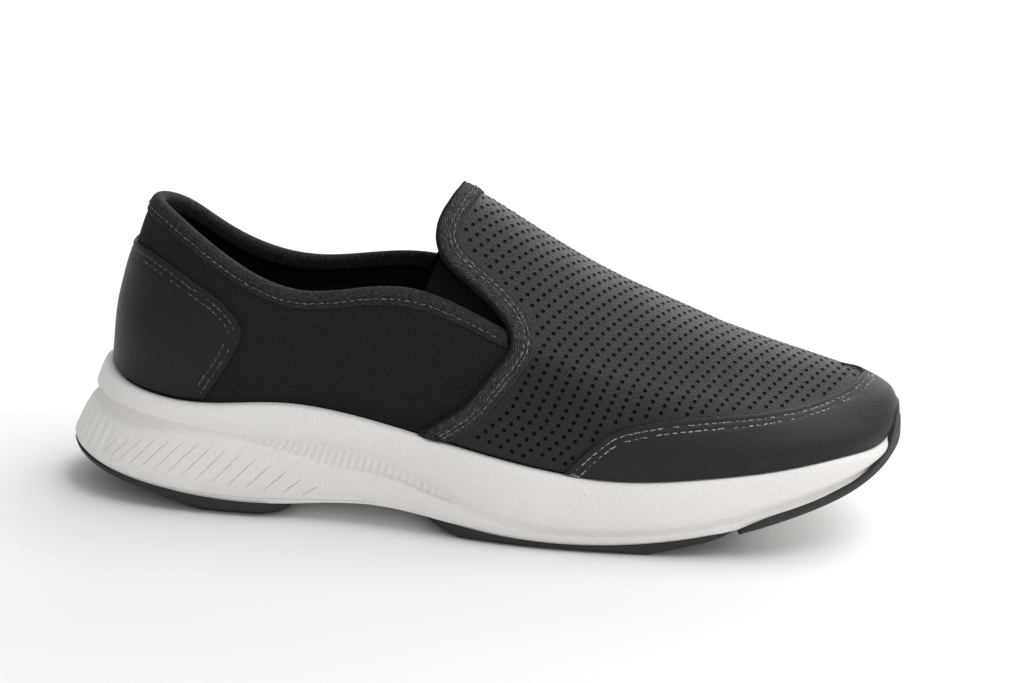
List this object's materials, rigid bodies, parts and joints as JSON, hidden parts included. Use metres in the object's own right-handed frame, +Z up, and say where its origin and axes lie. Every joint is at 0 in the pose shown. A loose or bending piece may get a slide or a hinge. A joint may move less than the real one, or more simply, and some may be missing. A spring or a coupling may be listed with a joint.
{
  "type": "slip-on shoe",
  "caption": "Slip-on sport shoe for the right foot: perforated vamp with taped edge, toe cap, heel counter, padded collar and white foam sole with black rubber pads.",
  "frame": {"origin": "point on the ground under the middle of the sole's length, on the flat of the forefoot pad", "axes": "+X towards the toe, +Y towards the inner (medial) side, +Z up"},
  "size_m": [0.299, 0.1052, 0.1159],
  "materials": {
    "white_foam": "white moulded foam with a fine leather-like grain",
    "black_rubber": "matte black rubber",
    "black_lining": "black lining cloth",
    "twill_textile": "fine near-black twill",
    "perforated_leather": "matte dark grey leather with small punched holes",
    "smooth_leather": "matte smooth dark grey leather",
    "stitched_tape": "ribbed dark grey tape with rows of stitches",
    "padded_binding": "padded fine knit",
    "black_elastic": "black elastic cloth"
  },
  "bodies": {
    "root": {"outsole_heel": "black_rubber", "outsole_forefoot": "black_rubber", "outsole_toe": "black_rubber", "midsole": "white_foam", "insole": "black_lining", "upper": "twill_textile", "vamp": "perforated_leather", "vamp_binding": "stitched_tape", "toe_cap": "smooth_leather", "heel_counter": "smooth_leather", "collar": "padded_binding", "flap_lining": "black_lining", "gore_lateral": "black_elastic", "gore_medial": "black_elastic"}
  },
  "joints": []
}
